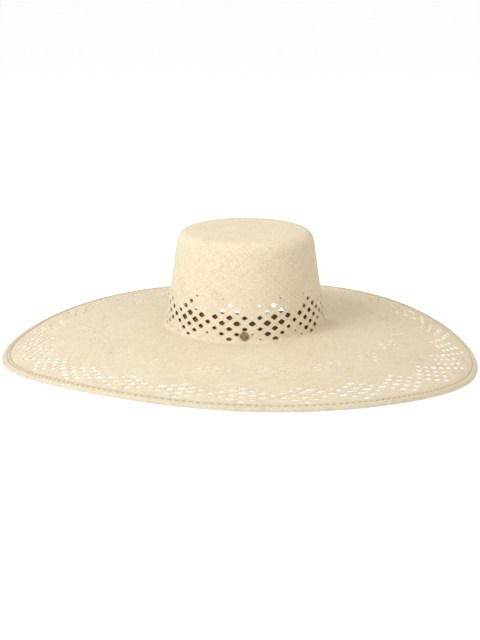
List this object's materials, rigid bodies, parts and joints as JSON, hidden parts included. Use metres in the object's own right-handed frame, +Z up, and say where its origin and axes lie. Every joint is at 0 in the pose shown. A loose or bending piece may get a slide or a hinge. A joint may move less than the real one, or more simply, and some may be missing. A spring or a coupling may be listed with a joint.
{
  "type": "straw sun hat",
  "caption": "Wide-brimmed woven straw sun hat with an openwork crown band and brim border, a wired hem, an inner sweatband and a small round front stud.",
  "frame": {"origin": "under the middle of the brim, on the surface that the hat stands on", "axes": "+Z up through the crown, -Y towards the front of the hat, +X towards the wearer's left"},
  "size_m": [0.52, 0.536, 0.1473],
  "materials": {
    "straw": "natural woven palm straw, matt with a faint sheen",
    "hem_straw": "natural woven palm straw, doubled at the hem",
    "wire": "spring wire",
    "joiner": "crimped sleeve",
    "hem_thread": "cotton thread",
    "sweatband": "ribbed grosgrain ribbon",
    "band_thread": "cotton thread",
    "label": "woven satin tape, blank",
    "label_thread": "cotton thread",
    "stud": "aged brass",
    "retainer": "plain disc"
  },
  "bodies": {
    "hat": {"crown": "straw", "brim": "straw", "brim_hem": "hem_straw", "brim_wire": "wire", "wire_joiner": "joiner", "hem_thread": "hem_thread", "sweatband": "sweatband", "sweatband_cover": "sweatband", "sweatband_thread": "band_thread", "label_edge": "label", "label_thread": "label_thread"},
    "stud": {"stud_cap": "stud", "stud_post": "stud", "stud_retainer": "retainer"},
    "label": {"label_flap": "label"}
  },
  "joints": [
    {"name": "stud_spin", "type": "hinge", "parent": "hat", "child": "stud", "pos_m": [0.0045, -0.10148, 0.05292], "axis": [0, -0.9867, 0.1628], "continuous": true},
    {"name": "label_flip", "type": "hinge", "parent": "hat", "child": "label", "pos_m": [0.08624, 0, 0.06532], "axis": [0, 1, 0], "range_deg": [0, 135]}
  ]
}
